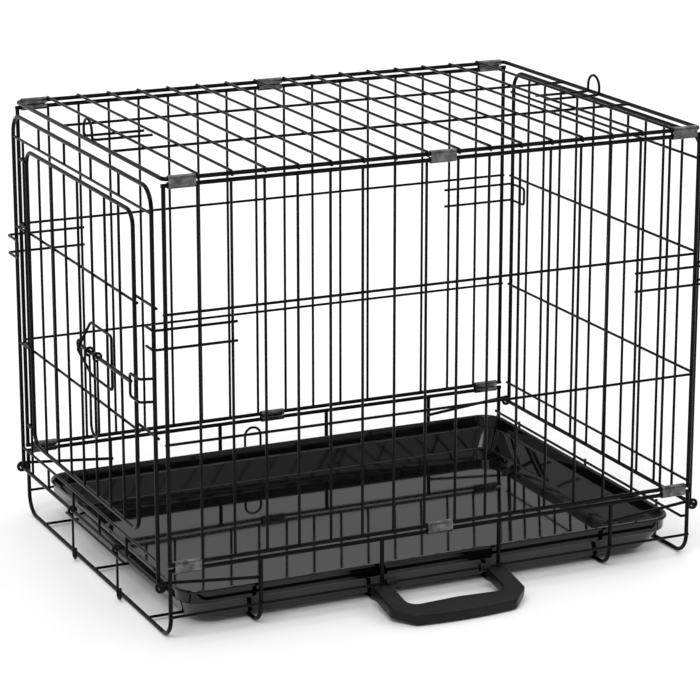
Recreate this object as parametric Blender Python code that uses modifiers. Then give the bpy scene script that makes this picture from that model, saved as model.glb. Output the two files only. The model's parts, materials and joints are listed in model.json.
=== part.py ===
"""A folding wire dog crate: a hinged tube of panels on a wire basket, with a tray, two ends and a door.

Metres, +Z up. X runs along the length, with the door end at -X, and -Y is the side with the handle.
Places below are measured from the left, front, floor corner, which at() turns into world points.
"""

from math import asin, atan2, cos, hypot, pi, radians, sin

import bmesh
import bpy
from mathutils import Vector

# Overall sizes
WIDTH = 0.610
DEPTH = 0.445
HEIGHT = 0.483

# Wire
FRAME_R = 0.00225
WIRE_R = 0.0015
BITE = 0.0004
WELD = 0.000005
FRAME_SIDES = 8
WIRE_SIDES = 6
CLEAR = 0.0005
GAP = 0.0003

# Long panels and top
PITCHES = 17
RAIL_STEP = 0.0065
BASKET_RAIL_Z = 0.075
LOW_BAR_Z = 0.43064 * HEIGHT
HIGH_BAR_Z = 0.71014 * HEIGHT
TOP_BARS = 2
TOP_CORNER_R = 0.006

# Sheet metal hinge sleeves
SLEEVE_LENGTH = 0.029
SLEEVE_WALL = 0.0008
SLEEVE_INSET = 0.0191

# Basket
HANDLE_MIDDLE = 0.4959 * WIDTH
INNER_BENDS = (HANDLE_MIDDLE - 0.0645, HANDLE_MIDDLE + 0.0735)
BASKET_BENDS = (0.16393 * WIDTH, *INNER_BENDS, 0.84098 * WIDTH)
BASKET_CORNER_R = 0.022
SIDE_BAR_Z = 0.026
FLOOR_BARS = (0.060, 0.222, 0.385)
TURN_UP_R = 0.006
END_WALL_Z = 0.046
EYE_WIRE_R = 0.0018
ARM_DROP = 0.010
BACK_LOOP_X = 0.45902 * WIDTH
BACK_LOOP_WIDTH = 0.020
BACK_LOOP_TOP = 0.066

# End panels
END_OFFSET = 0.009
END_INSET = 0.010
END_DROP = 0.0105
PIVOT_Z = 0.058
END_CORNER_R = 0.022
END_PITCHES = 11
END_TOP_BAND = 0.025
END_LOW_BAR_Z = 0.083
STUB_REACH = 0.0055
STUB_LIFT = 0.006

# Door
DOOR_FRONT_Y = 0.060
DOOR_BACK_Y = 0.3886
DOOR_HINGE_Y = 0.4025
DOOR_BOTTOM_Z = 0.100
DOOR_TOP_GAP = 0.008
DOOR_CORNER_R = 0.016
DOOR_PITCHES = 8
DOOR_OUT = 0.001
DOOR_EYES_Z = (DOOR_BOTTOM_Z + 0.018, LOW_BAR_Z + 0.006, HIGH_BAR_Z + 0.007, HEIGHT - 0.058)

# Latch on the door
LATCH_Z = 0.54865 * HEIGHT
LATCH_R = 0.0022
BRACKET_Y = (0.119, 0.187)
BRACKET_HALF = 0.029
BRACKET_KINK = 0.013
BOLT_TIP_Y = 0.050
BOLT_TAIL_Y = 0.200
GRIP_Y = (0.148, 0.172)
GRIP_DROP = 0.090
KEEPER_HALF = 0.012
KEEPER_REACH = 0.040
KEEPER_SHOULDER = 0.004
KEEPER_BEND_R = 0.0035
BRACKET_SHOULDER = 0.006
BRACKET_BEND_R = 0.004
TAIL_LOOP_R = 0.0045
TAIL_LOOP_AT = 0.004

# Corner and top hooks
HOOK_Z = HIGH_BAR_Z - 0.023
HOOK_HALF = 0.010
HOOK_OUT = 0.0145
HOOK_FRONT_TURN = 0.016
HOOK_BACK_TURN = 0.030
HOOK_BEND_R = 0.00375
HOOK_TAIL = 0.003
TOP_HOOK_HALF = 0.0125
TOP_HOOK_LENGTH = 0.070
TOP_HOOK_RISE = 0.018

# Tray gate
GATE_Y = (0.131, 0.270)
GATE_BAR_DROP = 0.0085
GATE_FOOT_Z = 0.004
GATE_CURL = 0.008
GATE_CURL_TIP = 0.0048
GATE_BAR_OVER = 0.020

# Tray
TRAY_ABOVE_BARS = 0.00124
TRAY_RIM_Z = 0.045
TRAY_LEDGE_Z = 0.030
TRAY_LEFT = 0.018
TRAY_RIGHT_GAP = 0.012
TRAY_SIDE = 0.0080
TRAY_FLARE = 0.016
TRAY_LEDGE = 0.004
TRAY_LIP = 0.003
TRAY_WALL = 0.0018
TRAY_CORNER_R = 0.040

# Carry handle
HANDLE_REACH = 0.0755
HANDLE_THICK = 0.012
HANDLE_HALF = 0.0785
HANDLE_WIDE = 0.0785
HANDLE_NOSE = 0.0585
HANDLE_WIDE_AT = 0.050
HANDLE_BOW = 0.004
HANDLE_HOLE_HALF = 0.0570
HANDLE_HOLE_AT = (0.010, 0.049)
HANDLE_HOLE_BOW = 0.003
HANDLE_HOLE_R = 0.012
HANDLE_START = 0.0025
HANDLE_FOOT_GAP = 0.0006
BOSS_R = 0.0046
BOSS_LENGTH = 0.012
BOSS_STEP = 0.0075

# Worked out from the sizes above
FRAME_FLAT = FRAME_R * cos(pi / FRAME_SIDES)
WIRE_FLAT = WIRE_R * cos(pi / WIRE_SIDES)
FLOOR_Z = FRAME_FLAT
TOP_Z = HEIGHT - FRAME_R
PANEL_TOP_Z = TOP_Z - RAIL_STEP
PANEL_LOW_Z = BASKET_RAIL_Z + RAIL_STEP
END_TOP_Z = TOP_Z - END_DROP
PITCH = WIDTH / PITCHES
CROSS = 2 * WIRE_FLAT - BITE
FRAME_CROSS = FRAME_FLAT + WIRE_FLAT - BITE
DOOR_X = -END_OFFSET - DOOR_OUT
LATCH_PLANE = DOOR_X - FRAME_R - GAP - WIRE_R
BOLT_X = LATCH_PLANE - WIRE_R - 2 * GAP - LATCH_R - 2 * CLEAR
LEFT_REACH = -(LATCH_PLANE - BRACKET_KINK - WIRE_R)
RIGHT_REACH = HOOK_OUT + WIRE_R
HANDLE_TILT = asin((SIDE_BAR_Z - HANDLE_FOOT_GAP) / hypot(HANDLE_REACH, HANDLE_THICK))
HANDLE_TILT -= atan2(HANDLE_THICK, HANDLE_REACH)
TRAY_Z = FLOOR_Z + FRAME_CROSS + WIRE_R + TRAY_ABOVE_BARS
FRONT_REACH = FRAME_CROSS + HANDLE_REACH * cos(HANDLE_TILT)
BACK_REACH = FRAME_CROSS + WIRE_R
MID_X = (WIDTH + RIGHT_REACH - LEFT_REACH) / 2
MID_Y = (DEPTH + BACK_REACH - FRONT_REACH) / 2

for old in list(bpy.data.objects):
    bpy.data.objects.remove(old)
crate = bpy.data.collections.new("wire_dog_crate")
cutters = bpy.data.collections.new("cutters")
bpy.context.scene.collection.children.link(crate)
bpy.context.scene.collection.children.link(cutters)


def at(x, y, z):
    return Vector((x - MID_X, y - MID_Y, z))


def material(name, colour, roughness, metallic):
    mat = bpy.data.materials.new(name)
    mat.use_nodes = True
    shader = mat.node_tree.nodes["Principled BSDF"]
    shader.inputs["Base Color"].default_value = (*colour, 1)
    shader.inputs["Roughness"].default_value = roughness
    shader.inputs["Metallic"].default_value = metallic
    return mat


COATED = ("coated_wire", (0.02, 0.02, 0.022), 0.35, 0.6)
SHEET = ("sheet_steel", (0.05, 0.047, 0.045), 0.2, 0.9)
TRAY_PLASTIC = ("tray_plastic", (0.015, 0.015, 0.015), 0.18, 0.0)
HANDLE_PLASTIC = ("handle_plastic", (0.02, 0.02, 0.02), 0.5, 0.0)
made = {}


def finish(obj, kind):
    """Names the piece's finish, and shades its round faces smooth."""
    name = kind[0]
    if name not in made:
        made[name] = material(*kind)
    obj.data.materials.clear()
    obj.data.materials.append(made[name])
    obj.data.shade_smooth()
    obj.data.set_sharp_from_angle(angle=radians(35))
    return obj


def pivot(obj, point):
    """Moves a piece's origin onto its joint axis, and leaves its shape where it is."""
    for vert in obj.data.vertices:
        vert.co -= point
    obj.location = point
    return obj


def move_to(obj, collection):
    for owner in list(obj.users_collection):
        owner.objects.unlink(obj)
    collection.objects.link(obj)


def to_mesh(obj, name):
    """The object as the modifiers and bevels leave it, as one mesh with its caps welded."""
    bpy.context.view_layer.update()
    graph = bpy.context.evaluated_depsgraph_get()
    data = bpy.data.meshes.new_from_object(obj.evaluated_get(graph))
    bm = bmesh.new()
    bm.from_mesh(data)
    bmesh.ops.remove_doubles(bm, verts=bm.verts, dist=WELD)
    bmesh.ops.transform(bm, matrix=obj.matrix_world, verts=bm.verts)
    bmesh.ops.recalc_face_normals(bm, faces=bm.faces)
    bm.to_mesh(data)
    bm.free()
    result = bpy.data.objects.new(name, data)
    crate.objects.link(result)
    bpy.data.objects.remove(obj)
    result.name = name
    return result


def wires(name, paths, radius=WIRE_R, sides=WIRE_SIDES, closed=False, tilt=0.0):
    """One mesh of separate wires, each along its own path of world points."""
    curve = bpy.data.curves.new(name, "CURVE")
    curve.dimensions = "3D"
    curve.bevel_depth = radius
    curve.bevel_resolution = (sides - 4) // 2
    curve.use_fill_caps = True
    for path in paths:
        spline = curve.splines.new("POLY")
        spline.points.add(len(path) - 1)
        for point, place in zip(spline.points, path):
            point.co = (*place, 1)
            point.tilt = tilt
        spline.use_cyclic_u = closed
    obj = bpy.data.objects.new(name, curve)
    crate.objects.link(obj)
    return to_mesh(obj, name)


def rounded(points, radius, steps=3, closed=False):
    """The path with each corner replaced by an arc of this radius."""
    out = []
    count = len(points)
    for i, corner in enumerate(points):
        if not closed and i in (0, count - 1):
            out.append(corner)
            continue
        back = (points[i - 1] - corner).normalized()
        ahead = (points[(i + 1) % count] - corner).normalized()
        half = back.angle(ahead) / 2
        reach = radius * cos(half) / sin(half)
        centre = corner + (back + ahead).normalized() * (radius / sin(half))
        first = corner + back * reach - centre
        last = corner + ahead * reach - centre
        turn = first.rotation_difference(last)
        axis, angle = turn.to_axis_angle()
        for step in range(steps + 1):
            arm = first.copy()
            arm.rotate(turn.__class__(axis, angle * step / steps))
            out.append(centre + arm)
    return out


def join(body, *others):
    """Welds the other pieces to the first by a Boolean union each."""
    name = body.name
    for other in others:
        modifier = body.modifiers.new("weld", "BOOLEAN")
        modifier.operation = "UNION"
        modifier.solver = "EXACT"
        modifier.object = other
        body = to_mesh(body, name)
        bpy.data.objects.remove(other)
    return body


def cut(body, cutter):
    name = body.name
    modifier = body.modifiers.new("cut", "BOOLEAN")
    modifier.operation = "DIFFERENCE"
    modifier.solver = "EXACT"
    modifier.object = cutter
    body = to_mesh(body, name)
    move_to(cutter, cutters)
    cutter.hide_render = True
    cutter.display_type = "WIRE"
    return body


def ring(centre, first, second, radius, start=0.0, sweep=2 * pi, steps=8):
    """Points on an arc round a centre, from the first direction towards the second."""
    turns = [start + sweep * i / steps for i in range(steps + 1)]
    return [centre + first * (radius * cos(t)) + second * (radius * sin(t)) for t in turns]


X = Vector((1, 0, 0))
Y = Vector((0, 1, 0))
Z = Vector((0, 0, 1))


def corner_hook(side_y, inward, end_x, outward, turn, closed):
    """A pair of wires on the outside of a long panel, bent round the corner past the end panel."""
    y = side_y - inward * FRAME_CROSS
    start = end_x - outward * 2 * PITCH
    tip = end_x + outward * HOOK_OUT
    levels = (HOOK_Z + HOOK_HALF, HOOK_Z - HOOK_HALF)
    bends = [(start - outward * HOOK_TAIL, y), (tip, y), (tip, side_y + inward * turn)]
    paths = [[at(px, py, z) for px, py in bends] for z in levels]
    if closed:
        whole = paths[0] + paths[1][::-1]
        return [rounded(whole, HOOK_BEND_R)]
    return [rounded(path, HOOK_BEND_R) for path in paths]


def long_panel(name, y, inward, turn, closed):
    """A front or back panel, flat in the plane y, with its corner hooks outside."""
    posts = [[at(x, y, PANEL_LOW_Z), at(x, y, PANEL_TOP_Z)] for x in (0, WIDTH)]
    over = FRAME_R
    rails = [[at(-over, y, z), at(WIDTH + over, y, z)] for z in (PANEL_LOW_Z, PANEL_TOP_Z)]
    uprights = [
        [at(PITCH * i, y, PANEL_LOW_Z), at(PITCH * i, y, PANEL_TOP_Z)] for i in range(1, PITCHES)
    ]
    inner = y + inward * CROSS
    bars = [
        [at(-WIRE_R / 2, inner, z), at(WIDTH + WIRE_R / 2, inner, z)]
        for z in (LOW_BAR_Z, HIGH_BAR_Z)
    ]
    hooks = corner_hook(y, inward, 0, -1, turn, closed)
    hooks += corner_hook(y, inward, WIDTH, 1, turn, closed)
    panel = wires(name, rails, FRAME_R, FRAME_SIDES)
    return join(
        panel,
        wires("posts", posts, FRAME_R, FRAME_SIDES),
        wires("uprights", uprights),
        wires("bars", bars),
        wires("hooks", hooks),
    )


def top_hook(end_x, outward):
    """A hairpin under the top's wires, its closed end standing up at the end rail."""
    z = TOP_Z - CROSS
    middle = DEPTH / 2
    near, far = middle - TOP_HOOK_HALF, middle + TOP_HOOK_HALF
    stand = end_x - outward * FRAME_CROSS
    start = end_x - outward * TOP_HOOK_LENGTH
    leg = [at(start, near, z), at(stand, near, z)]
    back = [at(stand, far, z), at(start, far, z)]
    centre = at(stand, middle, HEIGHT + TOP_HOOK_RISE - TOP_HOOK_HALF)
    return leg + ring(centre, -Y, Z, TOP_HOOK_HALF, 0, pi, 6) + back


def top_panel():
    corners = [at(0, 0, TOP_Z), at(WIDTH, 0, TOP_Z), at(WIDTH, DEPTH, TOP_Z), at(0, DEPTH, TOP_Z)]
    frame = wires(
        "top_panel", [rounded(corners, TOP_CORNER_R, closed=True)], FRAME_R, FRAME_SIDES, True
    )
    across = [[at(PITCH * i, 0, TOP_Z), at(PITCH * i, DEPTH, TOP_Z)] for i in range(1, PITCHES)]
    low = TOP_Z - CROSS
    spacing = DEPTH / (TOP_BARS + 1)
    along = [
        [at(-WIRE_R / 2, spacing * i, low), at(WIDTH + WIRE_R / 2, spacing * i, low)]
        for i in range(1, TOP_BARS + 1)
    ]
    hooks = [top_hook(0, -1), top_hook(WIDTH, 1)]
    return join(frame, wires("across", across), wires("along", along), wires("hooks", hooks))


def sleeve(name, x, y, low_z):
    """A flattened tube of sheet metal round two rails that lie one above the other."""
    curve = bpy.data.curves.new(name, "CURVE")
    curve.dimensions = "2D"
    curve.fill_mode = "BOTH"
    curve.extrude = SLEEVE_LENGTH / 2
    for radius in (FRAME_R + CLEAR, FRAME_R + CLEAR + SLEEVE_WALL):
        outline = ring(Vector((0, 0, 0)), X, Y, radius, pi, pi, 5)
        outline += ring(Vector((0, RAIL_STEP, 0)), X, Y, radius, 0, pi, 5)
        spline = curve.splines.new("POLY")
        spline.points.add(len(outline) - 1)
        for point, place in zip(spline.points, outline):
            point.co = (*place, 1)
        spline.use_cyclic_u = True
    obj = bpy.data.objects.new(name, curve)
    obj.rotation_euler = (radians(90), 0, radians(90))
    obj.location = at(x, y, low_z)
    crate.objects.link(obj)
    return finish(to_mesh(obj, name), SHEET)


def sleeves():
    places = {"left": SLEEVE_INSET, "middle": WIDTH / 2, "right": WIDTH - SLEEVE_INSET}
    for side, y in (("front", 0.0), ("back", DEPTH)):
        for level, low_z in (("bottom", BASKET_RAIL_Z), ("top", PANEL_TOP_Z)):
            for place, x in places.items():
                sleeve(f"{side}_{level}_{place}_sleeve", x, y, low_z)


def arm(end_x, outward, y, inward):
    """A hinge arm along a side wall, ending in an eye round an end panel's bottom rail."""
    plane = y + inward * (FRAME_FLAT + EYE_WIRE_R * WIRE_FLAT / WIRE_R - BITE)
    radius = FRAME_R + CLEAR + EYE_WIRE_R
    centre = at(end_x + outward * END_OFFSET, plane, PIVOT_Z)
    bend = BASKET_BENDS[0] if outward < 0 else BASKET_BENDS[-1]
    tail = at(bend - outward * EYE_WIRE_R, plane, PIVOT_Z - ARM_DROP + radius)
    eye = ring(centre, Z, X * outward, radius, 0, radians(300), 8)
    return [tail] + eye


def basket():
    ends_and_bends = (0.0, *BASKET_BENDS, WIDTH)
    bends = []
    for x in ends_and_bends:
        path = [
            at(x, 0, BASKET_RAIL_Z),
            at(x, 0, FLOOR_Z),
            at(x, DEPTH, FLOOR_Z),
            at(x, DEPTH, BASKET_RAIL_Z),
        ]
        bends.append(rounded(path, BASKET_CORNER_R, 4))
    over = FRAME_R
    rails = [[at(-over, y, BASKET_RAIL_Z), at(WIDTH + over, y, BASKET_RAIL_Z)] for y in (0, DEPTH)]
    out = FRAME_CROSS
    side_bars = [
        [at(-WIRE_R / 2, y, SIDE_BAR_Z), at(WIDTH + WIRE_R / 2, y, SIDE_BAR_Z)]
        for y in (-out, DEPTH + out)
    ]
    floor_bar_z = FLOOR_Z + FRAME_CROSS
    wall_x = WIDTH - FRAME_CROSS
    floor_bars = []
    for y in FLOOR_BARS:
        path = [
            at(-WIRE_R / 2, y, floor_bar_z),
            at(wall_x, y, floor_bar_z),
            at(wall_x, y, END_WALL_Z),
        ]
        floor_bars.append(rounded(path, TURN_UP_R))
    wall_y = FRAME_CROSS
    wall_bar = [[at(wall_x, wall_y, END_WALL_Z), at(wall_x, DEPTH - wall_y, END_WALL_Z)]]
    arms = [
        arm(end_x, outward, y, inward)
        for end_x, outward in ((0, -1), (WIDTH, 1))
        for y, inward in ((0, 1), (DEPTH, -1))
    ]
    loop_y = DEPTH + out - CROSS
    half = BACK_LOOP_WIDTH / 2
    loop_top = at(BACK_LOOP_X, loop_y, BACK_LOOP_TOP - half)
    body = wires("base_basket", bends, FRAME_R, FRAME_SIDES, tilt=pi / FRAME_SIDES)
    back_loop = [
        [at(BACK_LOOP_X - half, loop_y, SIDE_BAR_Z)]
        + ring(loop_top, -X, Z, half, 0, pi, 6)
        + [at(BACK_LOOP_X + half, loop_y, SIDE_BAR_Z)]
    ]
    return join(
        body,
        wires("rails", rails, FRAME_R, FRAME_SIDES),
        wires("side_bars", side_bars),
        wires("floor_bars", floor_bars),
        wires("wall_bar", wall_bar),
        wires("arms", arms, EYE_WIRE_R),
        wires("back_loop", back_loop),
    )


def end_frame(end_x, outward):
    """The bent outline of an end panel and the rail that turns in the basket's eyes."""
    x = end_x + outward * END_OFFSET
    front, back = END_INSET, DEPTH - END_INSET
    outline = [
        at(x, front, PIVOT_Z),
        at(x, front, END_TOP_Z),
        at(x, back, END_TOP_Z),
        at(x, back, PIVOT_Z),
    ]
    rail = [at(x, FRAME_R, PIVOT_Z), at(x, DEPTH - FRAME_R, PIVOT_Z)]
    return x, rounded(outline, END_CORNER_R, 4), rail


def right_end_panel():
    x, outline, rail = end_frame(WIDTH, 1)
    step = (DEPTH - 2 * END_INSET) / END_PITCHES
    ys = [END_INSET + step * i for i in range(1, END_PITCHES)]
    uprights = [[at(x, y, PIVOT_Z), at(x, y, END_TOP_Z)] for y in ys]
    heights = (END_LOW_BAR_Z, LOW_BAR_Z, HIGH_BAR_Z, END_TOP_Z - END_TOP_BAND)
    bar_x = x - CROSS
    bars = [[at(bar_x, END_INSET, z), at(bar_x, DEPTH - END_INSET, z)] for z in heights]
    frame = wires("right_end_panel", [outline], FRAME_R, FRAME_SIDES)
    return join(
        frame,
        wires("rail", [rail], FRAME_R, FRAME_SIDES),
        wires("uprights", uprights),
        wires("bars", bars),
    )


def left_end_panel():
    """The end with the doorway: its outline, hinge post, band above the door and keeper."""
    x, outline, rail = end_frame(0, -1)
    front, back = END_INSET, DEPTH - END_INSET
    band_z = END_TOP_Z - END_TOP_BAND
    across = [
        [at(x, front, END_LOW_BAR_Z), at(x, back, END_LOW_BAR_Z)],
        [at(x, front, band_z), at(x, back, band_z)],
    ]
    uprights = [[at(x, DOOR_HINGE_Y, PIVOT_Z), at(x, DOOR_HINGE_Y, band_z)]]
    door_step = (DOOR_BACK_Y - DOOR_FRONT_Y) / DOOR_PITCHES
    for i in range(1, DOOR_PITCHES, 2):
        y = DOOR_FRONT_Y + door_step * i
        uprights.append([at(x, y, band_z), at(x, y, END_TOP_Z)])
        uprights.append([at(x, y, PIVOT_Z), at(x, y, END_LOW_BAR_Z)])
    inner = x + FRAME_CROSS
    stubs = []
    for z in (LOW_BAR_Z, HIGH_BAR_Z):
        high = z + STUB_LIFT
        stubs.append([at(inner, front - WIRE_R, high), at(inner, DOOR_FRONT_Y + STUB_REACH, high)])
        stubs.append([at(x, DOOR_HINGE_Y, z), at(x, back, z)])
    keeper_x = BOLT_X - LATCH_R - CLEAR - GAP - WIRE_R
    top, low = LATCH_Z + KEEPER_HALF, LATCH_Z - KEEPER_HALF
    keeper = rounded(
        [
            at(x, front, top),
            at(keeper_x, front + KEEPER_SHOULDER, top),
            at(keeper_x, KEEPER_REACH, top),
            at(keeper_x, KEEPER_REACH, low),
            at(keeper_x, front + KEEPER_SHOULDER, low),
            at(x, front, low),
        ],
        KEEPER_BEND_R,
        2,
    )
    frame = wires("left_end_panel", [outline], FRAME_R, FRAME_SIDES)
    return join(
        frame,
        wires("rail", [rail], FRAME_R, FRAME_SIDES),
        wires("across", across),
        wires("uprights", uprights),
        wires("stubs", stubs),
        wires("keeper", [keeper]),
    )


def door():
    """The door's outline and grille, with wire eyes that turn on the end panel's hinge post."""
    x = DOOR_X
    top = END_TOP_Z - END_TOP_BAND - DOOR_TOP_GAP
    corners = [
        at(x, DOOR_FRONT_Y, DOOR_BOTTOM_Z),
        at(x, DOOR_BACK_Y, DOOR_BOTTOM_Z),
        at(x, DOOR_BACK_Y, top),
        at(x, DOOR_FRONT_Y, top),
    ]
    outline = rounded(corners, DOOR_CORNER_R, closed=True)
    frame = wires("door", [outline], FRAME_R, FRAME_SIDES, True)
    step = (DOOR_BACK_Y - DOOR_FRONT_Y) / DOOR_PITCHES
    ys = [DOOR_FRONT_Y + step * i for i in range(1, DOOR_PITCHES)]
    uprights = [[at(x, y, DOOR_BOTTOM_Z), at(x, y, top)] for y in ys]
    bars = [
        [at(x + CROSS, DOOR_FRONT_Y, z), at(x + CROSS, DOOR_BACK_Y, z)]
        for z in (LOW_BAR_Z, HIGH_BAR_Z)
    ]
    radius = WIRE_R + CLEAR + WIRE_R
    eyes = []
    for z in DOOR_EYES_Z:
        centre = at(-END_OFFSET, DOOR_HINGE_Y, z)
        eye = ring(centre, -X, Y, radius, 0, radians(280), 7)
        eyes.append([at(-END_OFFSET - radius, DOOR_BACK_Y, z)] + eye)
    return join(frame, wires("uprights", uprights), wires("bars", bars), wires("eyes", eyes))


def latch_bracket():
    """The loop of wire that guides the bolt, its back leg kinked out round it."""
    front, back = BRACKET_Y
    low, high = LATCH_Z - BRACKET_HALF, LATCH_Z + BRACKET_HALF
    x = LATCH_PLANE
    path = [
        at(x, front, low),
        at(x, front, high),
        at(x, back - BRACKET_SHOULDER, high),
        at(x - BRACKET_KINK, back, LATCH_Z),
        at(x, back - BRACKET_SHOULDER, low),
    ]
    return wires("latch_bracket", [rounded(path, BRACKET_BEND_R, 3, True)], closed=True)


def latch_bolt():
    """The sliding bolt: a rod with a closed loop of wire at its tail."""
    path = [at(BOLT_X, BOLT_TIP_Y, LATCH_Z), at(BOLT_X, BOLT_TAIL_Y, LATCH_Z)]
    rod = wires("latch_bolt", [path], LATCH_R, FRAME_SIDES)
    centre = at(BOLT_X, BOLT_TAIL_Y + TAIL_LOOP_AT, LATCH_Z)
    tail = wires("tail", [ring(centre, Y, Z, TAIL_LOOP_R, steps=10)[:-1]], closed=True)
    return join(rod, tail)


def latch_handle():
    """The hanging grip: a long U of wire with an eye round the bolt at each end."""
    radius = LATCH_R + CLEAR + WIRE_R
    near, far = GRIP_Y
    half = (far - near) / 2
    centre = at(BOLT_X, near + half, LATCH_Z - GRIP_DROP + half)
    bottom = ring(centre, -Y, -Z, half, 0, pi, 6)
    first = ring(at(BOLT_X, near, LATCH_Z), -Z, X, radius, radians(-290), radians(290), 8)
    last = ring(at(BOLT_X, far, LATCH_Z), -Z, X, radius, 0, radians(-290), 8)
    return wires("latch_handle", [first + bottom + last])


def tray_gate():
    """Two hanging wires joined by a bar, which turn on the left end's bottom rail and hold the tray in."""
    x = -END_OFFSET
    radius = FRAME_R + CLEAR + WIRE_R
    legs = []
    for y in GATE_Y:
        eye = ring(at(x, y, PIVOT_Z), -Z, X, radius, radians(-300), radians(300), 8)
        turn = at(x, y - GATE_CURL / 2, GATE_FOOT_Z + GATE_CURL / 2)
        foot = ring(turn, Y, -Z, GATE_CURL / 2, 0, pi, 4)
        legs.append(eye + foot + [at(x, y - GATE_CURL, GATE_FOOT_Z + GATE_CURL + GATE_CURL_TIP)])
    bar_z = PIVOT_Z - GATE_BAR_DROP
    bar = [[at(x, GATE_Y[0] - GATE_BAR_OVER, bar_z), at(x, GATE_Y[1] + GATE_BAR_OVER, bar_z)]]
    body = wires("tray_gate", legs)
    return join(body, wires("bar", bar))


def ring_of_tray(bm, edges, z, grow, half_x, half_y, centre):
    """Draws the open edge up to a height, and spreads it by the same amount on each side."""
    drawn = bmesh.ops.extrude_edge_only(bm, edges=edges)["geom"]
    verts = [g for g in drawn if isinstance(g, bmesh.types.BMVert)]
    for vert in verts:
        dx, dy = vert.co.x - centre.x, vert.co.y - centre.y
        vert.co.x = centre.x + dx * (half_x + grow) / half_x
        vert.co.y = centre.y + dy * (half_y + grow) / half_y
        vert.co.z = z
    return [g for g in drawn if isinstance(g, bmesh.types.BMEdge)]


def tray():
    """The plastic pan: a flat floor with round corners, flared walls, a ledge and a lip."""
    left, right = TRAY_LEFT, WIDTH - TRAY_RIGHT_GAP
    inset = TRAY_SIDE + TRAY_FLARE + TRAY_LEDGE
    half_x = (right - left) / 2 - TRAY_FLARE - TRAY_LEDGE
    half_y = DEPTH / 2 - inset
    centre = at((left + right) / 2, DEPTH / 2, TRAY_Z)
    data = bpy.data.meshes.new("tray")
    bm = bmesh.new()
    bmesh.ops.create_grid(bm, x_segments=1, y_segments=1, size=1)
    for vert in bm.verts:
        vert.co = Vector((centre.x + vert.co.x * half_x, centre.y + vert.co.y * half_y, TRAY_Z))
    radius = TRAY_CORNER_R - TRAY_FLARE
    bmesh.ops.bevel(
        bm,
        geom=bm.verts[:],
        offset=radius,
        offset_type="OFFSET",
        segments=5,
        profile=0.5,
        affect="VERTICES",
    )
    edges = [e for e in bm.edges if e.is_boundary]
    grown = 0.0
    for z, grow in (
        (TRAY_LEDGE_Z, TRAY_FLARE),
        (TRAY_LEDGE_Z + TRAY_WALL, TRAY_LEDGE - TRAY_LIP / 2),
        (TRAY_RIM_Z, 0.0),
        (TRAY_RIM_Z, TRAY_LIP / 2),
    ):
        edges = ring_of_tray(bm, edges, z, grow, half_x + grown, half_y + grown, centre)
        grown += grow
    bmesh.ops.recalc_face_normals(bm, faces=bm.faces)
    bm.to_mesh(data)
    bm.free()
    obj = bpy.data.objects.new("tray_shell", data)
    crate.objects.link(obj)
    solid = obj.modifiers.new("wall", "SOLIDIFY")
    solid.thickness = TRAY_WALL
    solid.offset = 0
    solid.use_even_offset = True
    return to_mesh(obj, "tray")


def tube_along_x(name, x, y, z, radius, length, sides=16):
    bm = bmesh.new()
    bmesh.ops.create_cone(
        bm, cap_ends=True, segments=sides, radius1=radius, radius2=radius, depth=length
    )
    bmesh.ops.rotate(bm, verts=bm.verts, matrix=Vector((0, 0, 1)).rotation_difference(X).to_matrix())
    bmesh.ops.translate(bm, verts=bm.verts, vec=at(x, y, z))
    data = bpy.data.meshes.new(name)
    bm.to_mesh(data)
    bm.free()
    obj = bpy.data.objects.new(name, data)
    crate.objects.link(obj)
    return obj


def carry_handle():
    """A moulded grip reaching out from the basket, its two bosses turning on the front side bar."""
    middle = HANDLE_MIDDLE
    axis_y = -FRAME_CROSS

    def spot(half, reach):
        return at(middle + half, axis_y - reach, 0)

    outer = [spot(-HANDLE_HALF, HANDLE_START), spot(-HANDLE_WIDE, HANDLE_WIDE_AT)]
    for share in (-1, -0.5, 0, 0.5, 1):
        outer.append(spot(HANDLE_NOSE * share, HANDLE_REACH - HANDLE_BOW * share**2))
    outer += [spot(HANDLE_WIDE, HANDLE_WIDE_AT), spot(HANDLE_HALF, HANDLE_START)]
    near, far = HANDLE_HOLE_AT
    hole = [
        spot(-HANDLE_HOLE_HALF, near),
        spot(-HANDLE_HOLE_HALF, far),
        spot(0, far - HANDLE_HOLE_BOW),
        spot(HANDLE_HOLE_HALF, far),
        spot(HANDLE_HOLE_HALF, near),
    ]
    lead = [spot(HANDLE_HOLE_HALF, HANDLE_START), spot(-HANDLE_HOLE_HALF, HANDLE_START)]
    curved = rounded(hole, HANDLE_HOLE_R, 4)
    path = outer + [lead[0]] + curved[::-1] + [lead[1]]
    body = grip_plate(path)
    bosses = []
    boss_x = HANDLE_HOLE_HALF + BOSS_LENGTH / 2 - BOSS_STEP
    for sign in (-1, 1):
        centre_x = middle + sign * boss_x
        boss = tube_along_x("boss", centre_x, axis_y, SIDE_BAR_Z, BOSS_R, BOSS_LENGTH)
        bosses.append(boss)
    body = join(body, *bosses)
    bore = WIRE_R + CLEAR
    for sign in (-1, 1):
        cutter = tube_along_x(
            "bore", middle + sign * boss_x, axis_y, SIDE_BAR_Z, bore, 3 * BOSS_LENGTH, 12
        )
        body = cut(body, cutter)
    return body


def grip_plate(path):
    curve = bpy.data.curves.new("carry_handle", "CURVE")
    curve.dimensions = "2D"
    curve.fill_mode = "BOTH"
    curve.extrude = HANDLE_THICK / 2
    spline = curve.splines.new("POLY")
    spline.points.add(len(path) - 1)
    for point, place in zip(spline.points, path):
        point.co = (place.x, place.y, 0, 1)
    spline.use_cyclic_u = True
    obj = bpy.data.objects.new("carry_handle", curve)
    obj.location.z = SIDE_BAR_Z - HANDLE_THICK / 2
    crate.objects.link(obj)
    return to_mesh(obj, "carry_handle")


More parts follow.
